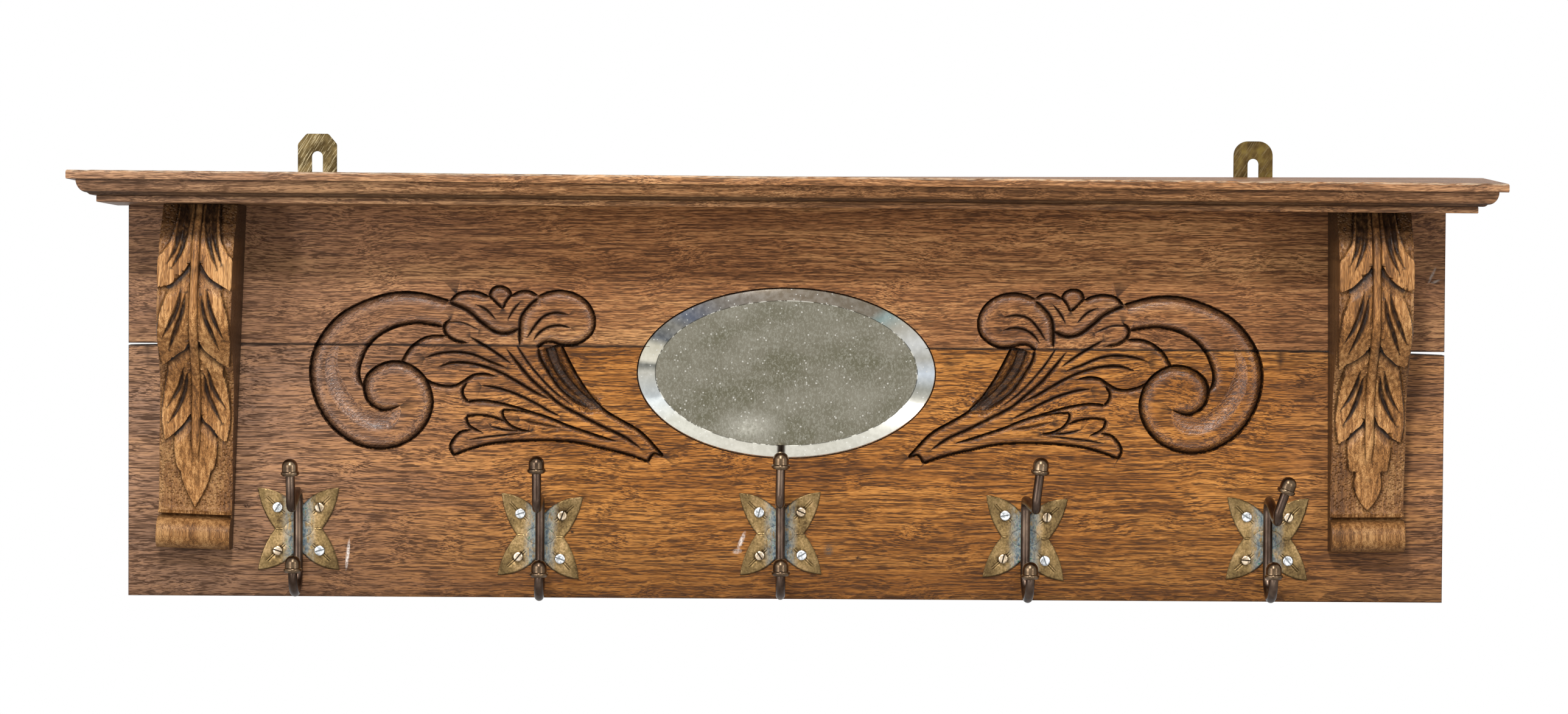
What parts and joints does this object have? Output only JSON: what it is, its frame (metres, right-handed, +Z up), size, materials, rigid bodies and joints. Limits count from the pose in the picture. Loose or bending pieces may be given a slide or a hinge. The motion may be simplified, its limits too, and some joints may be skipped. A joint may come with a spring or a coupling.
{
  "type": "mirror with hooks",
  "caption": "Wall-hung carved oak hat-and-coat rack: moulded shelf on leaf-carved brackets, oval bevelled mirror between incised scrolls, and a row of double brass hooks.",
  "frame": {"origin": "on the back face that lies against the wall, at the middle of the back's width and of its height between its lower edge and the shelf's underside", "axes": "+X to the right as one faces the rack, +Y into the wall, +Z up; the rack stands out from the wall towards -Y"},
  "size_m": [1.16, 0.145, 0.385],
  "materials": {
    "oak_board": "waxed, worn",
    "oak_carved": "dark polished",
    "mirror": "aged silvering, bevelled",
    "plate_brass": "patinated",
    "bronze": "dark patina, rubbed",
    "hanger_brass": "dull, scratched",
    "screw_brass": "dull",
    "zinc": "bright zinc plate",
    "steel": "plain"
  },
  "bodies": {
    "root": {"board_lower": "oak_board", "board_upper": "oak_board", "bracket_left": "oak_carved", "bracket_left_screw_1": "steel", "bracket_left_screw_2": "steel", "bracket_right": "oak_carved", "bracket_right_screw_1": "steel", "bracket_right_screw_2": "steel", "hanger_left_plate": "hanger_brass", "hanger_left_screw_1": "screw_brass", "hanger_left_screw_2": "screw_brass", "hanger_right_plate": "hanger_brass", "hanger_right_screw_1": "screw_brass", "hanger_right_screw_2": "screw_brass", "hook_1_cap_lower": "bronze", "hook_1_cap_upper": "bronze", "hook_1_plate": "plate_brass", "hook_1_rod": "bronze", "hook_1_screw_lower_left": "screw_brass", "hook_1_screw_lower_right": "zinc", "hook_1_screw_upper_left": "zinc", "hook_1_screw_upper_right": "screw_brass", "hook_2_cap_lower": "bronze", "hook_2_cap_upper": "bronze", "hook_2_plate": "plate_brass", "hook_2_rod": "bronze", "hook_2_screw_lower_left": "screw_brass", "hook_2_screw_lower_right": "zinc", "hook_2_screw_upper_left": "zinc", "hook_2_screw_upper_right": "screw_brass", "hook_3_cap_lower": "bronze", "hook_3_cap_upper": "bronze", "hook_3_plate": "plate_brass", "hook_3_rod": "bronze", "hook_3_screw_lower_left": "screw_brass", "hook_3_screw_lower_right": "zinc", "hook_3_screw_upper_left": "zinc", "hook_3_screw_upper_right": "screw_brass", "hook_4_cap_lower": "bronze", "hook_4_cap_upper": "bronze", "hook_4_plate": "plate_brass", "hook_4_rod": "bronze", "hook_4_screw_lower_left": "screw_brass", "hook_4_screw_lower_right": "zinc", "hook_4_screw_upper_left": "zinc", "hook_4_screw_upper_right": "screw_brass", "hook_5_cap_lower": "bronze", "hook_5_cap_upper": "bronze", "hook_5_plate": "plate_brass", "hook_5_rod": "bronze", "hook_5_screw_lower_left": "screw_brass", "hook_5_screw_lower_right": "zinc", "hook_5_screw_upper_left": "zinc", "hook_5_screw_upper_right": "screw_brass", "mirror_glass": "mirror", "shelf": "oak_carved", "shelf_screw_1": "steel", "shelf_screw_2": "steel", "shelf_screw_3": "steel"}
  },
  "joints": []
}
